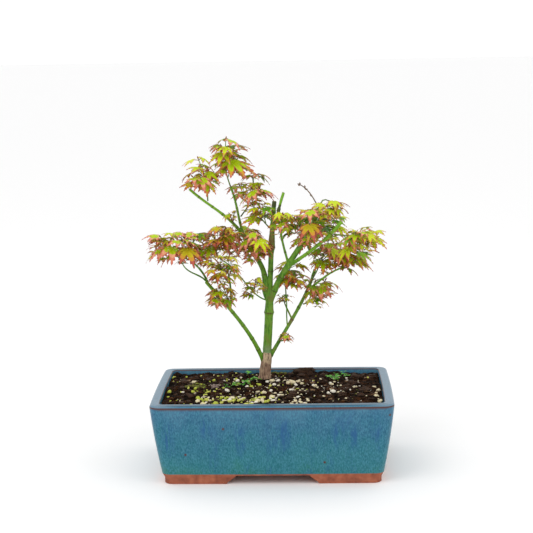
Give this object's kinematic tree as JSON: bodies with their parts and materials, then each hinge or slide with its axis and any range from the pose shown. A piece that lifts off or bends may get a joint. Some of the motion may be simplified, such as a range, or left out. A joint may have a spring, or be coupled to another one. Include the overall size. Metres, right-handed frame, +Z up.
{
  "type": "potted japanese maple bonsai",
  "caption": "Young Japanese maple bonsai in spring leaf, with green stems on a short woody foot, in a teal glazed rectangular pot.",
  "frame": {"origin": "middle of the pot's footprint, on the surface that its feet stand on", "axes": "+Z up along the tree; +X to the right and +Y to the back, seen from the pot's front long side"},
  "size_m": [0.2527, 0.17, 0.3443],
  "materials": {
    "glaze": "gloss",
    "bare_clay": "matte",
    "soil": "matte",
    "woody_bark": "matte",
    "green_bark": "satin",
    "leaves": "satin"
  },
  "bodies": {
    "root": {"pot": "glaze", "soil": "soil", "trunk": "woody_bark", "low_left_stem": "green_bark", "low_right_stem": "green_bark", "left_bough": "green_bark", "right_bough": "green_bark", "left_twig": "green_bark", "low_left_fork": "green_bark", "low_left_spur": "green_bark", "low_left_side_shoot": "green_bark", "left_cut_shoot": "green_bark", "left_top_shoot": "green_bark", "right_arm": "green_bark", "inner_shoot": "green_bark", "inner_shoot_tip": "green_bark", "dead_twig": "woody_bark", "low_right_arm": "green_bark", "low_right_twig": "green_bark", "low_right_stub": "green_bark", "crown_top": "leaves", "crown_left": "leaves", "crown_middle": "leaves", "bough_tuft": "leaves", "far_left": "leaves", "left_tips": "leaves", "left_middle": "leaves", "left_front": "leaves", "centre_left": "leaves", "left_back": "leaves", "leader_left": "leaves", "leader_right": "leaves", "right_front": "leaves", "right_back": "leaves", "right_crest": "leaves", "right_middle": "leaves", "right_rear": "leaves", "far_right_top": "leaves", "far_right_low": "leaves", "right_low": "leaves", "right_skirt": "leaves", "low_right_tuft": "leaves", "foot_tuft": "leaves", "left_skirt": "leaves", "twig_tuft": "leaves"}
  },
  "joints": []
}
